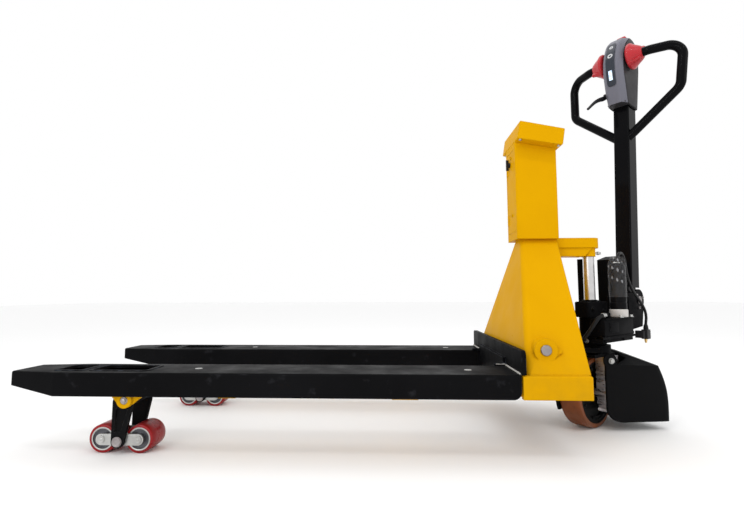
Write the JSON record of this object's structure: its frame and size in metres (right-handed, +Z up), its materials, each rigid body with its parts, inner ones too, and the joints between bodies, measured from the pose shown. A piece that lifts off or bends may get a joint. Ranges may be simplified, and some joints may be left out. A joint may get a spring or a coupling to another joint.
{
  "type": "electric weighing pallet truck",
  "caption": "Electric pallet truck with twin weighing fork platforms, tower with tilted indicator, turning drive unit, and an upright tiller with loop handles and control head",
  "frame": {"origin": "on the floor, under the middle of the whole truck's box", "axes": "+X from the fork tips to the operator, +Y across the truck away from the pump motor's side, +Z up"},
  "size_m": [1.8171, 0.6239, 1.2451],
  "materials": {
    "chassis_yellow": "semi-gloss paint over pressed and folded steel",
    "platform_black": "satin black paint",
    "cast_dark": "dark cast finish",
    "zinc_steel": "zinc-plated steel",
    "shaft_steel": "ground steel",
    "rod_chrome": "hard chrome",
    "tyre_orange": "cast polyurethane",
    "roller_red": "polyurethane on a steel sleeve with ball bearings",
    "wheel_black": "black wheel body",
    "motor_cap": "machined cover",
    "cell_aluminium": "machined beam",
    "motor_black": "gloss black",
    "unit_black": "black paint on castings",
    "cover_plastic": "textured moulding",
    "battery_case": "moulded case",
    "mast_black": "gloss black paint",
    "head_light": "fine-grained moulding",
    "head_dark": "fine-grained moulding",
    "panel_blue": "membrane panel",
    "knob_red": "moulded knob",
    "control_black": "moulded lever and buttons",
    "hose_rubber": "rubber hose",
    "cable_rubber": "cable sheath",
    "connector_grey": "moulded connector"
  },
  "bodies": {
    "chassis": {"weigh_shell_left": "platform_black", "weigh_shell_right": "platform_black", "inner_fork_left": "chassis_yellow", "inner_fork_right": "chassis_yellow", "load_cells": "cell_aluminium", "bracket_pivots": "shaft_steel", "tower": "chassis_yellow", "base_frame": "chassis_yellow", "cross_plate": "platform_black", "lift_arm": "chassis_yellow", "chassis_fixings": "zinc_steel", "lift_piston": "rod_chrome", "pivot_shaft": "shaft_steel", "indicator_box": "chassis_yellow", "hood": "chassis_yellow", "indicator_display": "control_black", "battery_pack": "battery_case"},
    "carriage": {"carriage": "unit_black"},
    "power_unit": {"hub_motor": "motor_cap", "wheel_yoke": "unit_black", "steer_column": "unit_black", "pump_block": "unit_black", "unit_flange": "unit_black", "pump_housing": "unit_black", "pump_motor": "motor_black", "tiller_bracket": "unit_black", "tiller_hinge": "shaft_steel", "controller": "cell_aluminium", "cover_stay": "unit_black", "rear_cover": "cover_plastic", "hydraulic_hose": "hose_rubber", "power_cable": "cable_rubber", "power_connector": "connector_grey"},
    "drive_wheel": {"drive_tyre": "tyre_orange", "drive_hub": "wheel_black"},
    "tiller": {"tiller_mast": "mast_black", "handle_loop": "mast_black", "head_front": "head_light", "head_rear": "head_dark", "control_panel": "panel_blue"},
    "throttle": {"throttle_knobs": "knob_red"},
    "finger_lever": {"finger_lever": "control_black"},
    "belly_switch": {"belly_switch": "knob_red"},
    "horn_button": {"horn_button": "control_black"},
    "speed_button": {"speed_button": "control_black"},
    "rocker": {"rocker": "cast_dark"},
    "box_door": {"box_door": "chassis_yellow"},
    "door_latch": {"door_latch": "control_black"},
    "push_rod_left": {"push_rod_left": "unit_black"},
    "bracket_left": {"roller_bracket_left": "cast_dark"},
    "bogie_pin_left": {"bogie_pin_left": "shaft_steel"},
    "bogie_left": {"bogie_left": "zinc_steel"},
    "load_roller_front_left": {"load_roller_front_left": "roller_red"},
    "load_roller_rear_left": {"load_roller_rear_left": "roller_red"},
    "push_rod_right": {"push_rod_right": "unit_black"},
    "bracket_right": {"roller_bracket_right": "cast_dark"},
    "bogie_pin_right": {"bogie_pin_right": "shaft_steel"},
    "bogie_right": {"bogie_right": "zinc_steel"},
    "load_roller_front_right": {"load_roller_front_right": "roller_red"},
    "load_roller_rear_right": {"load_roller_rear_right": "roller_red"}
  },
  "joints": [
    {"name": "lift", "type": "slide", "parent": "chassis", "child": "carriage", "axis": [0, 0, 1], "range_m": [0, 0.1]},
    {"name": "steer", "type": "hinge", "parent": "carriage", "child": "power_unit", "pos_m": [0.5582, -0.0232, 0.23], "axis": [0, 0, 1], "range_deg": [-110, 30]},
    {"name": "drive_wheel_spin", "type": "hinge", "parent": "power_unit", "child": "drive_wheel", "pos_m": [0.54534, -0.00788, 0.098], "axis": [-0.6428, 0.766, 0], "continuous": true},
    {"name": "tiller_tilt", "type": "hinge", "parent": "power_unit", "child": "tiller", "pos_m": [0.74623, 0.13458, 0.35195], "axis": [-0.6428, 0.766, 0], "range_deg": [0, 82], "stiffness_Nm_per_rad": 30, "springref_deg": -22.92},
    {"name": "throttle_turn", "type": "hinge", "parent": "tiller", "child": "throttle", "pos_m": [0.75439, 0.14142, 1.14599], "axis": [-0.6428, 0.766, 0], "range_deg": [-35, 35], "stiffness_Nm_per_rad": 1.5},
    {"name": "finger_lever_pull", "type": "hinge", "parent": "tiller", "child": "finger_lever", "pos_m": [0.71727, 0.15858, 1.0349], "axis": [-0.6428, 0.766, 0], "range_deg": [0, 18], "stiffness_Nm_per_rad": 1.5, "springref_deg": -14.32},
    {"name": "belly_switch_press", "type": "slide", "parent": "tiller", "child": "belly_switch", "axis": [-0.0508, -0.0426, -0.9978], "range_m": [0, 0.006], "stiffness_N_per_m": 800, "springref_m": -0.002},
    {"name": "horn_press", "type": "slide", "parent": "tiller", "child": "horn_button", "axis": [0.7329, 0.615, -0.291], "range_m": [0, 0.0015], "stiffness_N_per_m": 600, "springref_m": -0.001},
    {"name": "speed_press", "type": "slide", "parent": "tiller", "child": "speed_button", "axis": [0.6996, 0.587, -0.4075], "range_m": [0, 0.0015], "stiffness_N_per_m": 600, "springref_m": -0.001},
    {"name": "rocker_swing", "type": "hinge", "parent": "chassis", "child": "rocker", "pos_m": [0.3442, -0.0232, 0.243], "axis": [0, 1, 0], "range_deg": [-41.8, 0.1]},
    {"name": "push_rod_left_slide", "type": "slide", "parent": "chassis", "child": "push_rod_left", "axis": [1, 0, 0], "range_m": [-0.0005, 0.0495]},
    {"name": "bracket_left_swing", "type": "hinge", "parent": "chassis", "child": "bracket_left", "pos_m": [-0.6278, 0.1968, 0.128], "axis": [0, 1, 0], "range_deg": [-0.2, 80.3]},
    {"name": "bogie_left_level", "type": "hinge", "parent": "bracket_left", "child": "bogie_pin_left", "pos_m": [-0.6478, 0.1968, 0.031], "axis": [0, 1, 0], "range_deg": [-80.3, 0.2]},
    {"name": "bogie_left_rock", "type": "hinge", "parent": "bogie_pin_left", "child": "bogie_left", "pos_m": [-0.6478, 0.1968, 0.031], "axis": [0, 1, 0], "range_deg": [-8, 8]},
    {"name": "load_roller_front_left_spin", "type": "hinge", "parent": "bogie_left", "child": "load_roller_front_left", "pos_m": [-0.6923, 0.1968, 0.0333], "axis": [0, 1, 0], "continuous": true},
    {"name": "load_roller_rear_left_spin", "type": "hinge", "parent": "bogie_left", "child": "load_roller_rear_left", "pos_m": [-0.6033, 0.1968, 0.0333], "axis": [0, 1, 0], "continuous": true},
    {"name": "push_rod_right_slide", "type": "slide", "parent": "chassis", "child": "push_rod_right", "axis": [1, 0, 0], "range_m": [-0.0005, 0.0495]},
    {"name": "bracket_right_swing", "type": "hinge", "parent": "chassis", "child": "bracket_right", "pos_m": [-0.6278, -0.2432, 0.128], "axis": [0, 1, 0], "range_deg": [-0.2, 80.3]},
    {"name": "bogie_right_level", "type": "hinge", "parent": "bracket_right", "child": "bogie_pin_right", "pos_m": [-0.6478, -0.2432, 0.031], "axis": [0, 1, 0], "range_deg": [-80.3, 0.2]},
    {"name": "bogie_right_rock", "type": "hinge", "parent": "bogie_pin_right", "child": "bogie_right", "pos_m": [-0.6478, -0.2432, 0.031], "axis": [0, 1, 0], "range_deg": [-8, 8]},
    {"name": "load_roller_front_right_spin", "type": "hinge", "parent": "bogie_right", "child": "load_roller_front_right", "pos_m": [-0.6923, -0.2432, 0.0333], "axis": [0, 1, 0], "continuous": true},
    {"name": "load_roller_rear_right_spin", "type": "hinge", "parent": "bogie_right", "child": "load_roller_rear_right", "pos_m": [-0.6033, -0.2432, 0.0333], "axis": [0, 1, 0], "continuous": true},
    {"name": "box_door_swing", "type": "hinge", "parent": "chassis", "child": "box_door", "pos_m": [0.3466, 0.013, 0.665], "axis": [0, 0, 1], "range_deg": [-105, 0]},
    {"name": "door_latch_turn", "type": "hinge", "parent": "box_door", "child": "door_latch", "pos_m": [0.3452, -0.0152, 0.752], "axis": [1, 0, 0], "range_deg": [0, 90]}
  ],
  "couplings": [
    {"joint": "rocker_swing", "follows": "lift", "rad_per_m": -7.278},
    {"joint": "push_rod_left_slide", "follows": "lift", "ratio": 0.489},
    {"joint": "bracket_left_swing", "follows": "lift", "rad_per_m": 13.977},
    {"joint": "bogie_left_level", "follows": "lift", "rad_per_m": -13.977},
    {"joint": "push_rod_right_slide", "follows": "lift", "ratio": 0.489},
    {"joint": "bracket_right_swing", "follows": "lift", "rad_per_m": 13.977},
    {"joint": "bogie_right_level", "follows": "lift", "rad_per_m": -13.977}
  ]
}
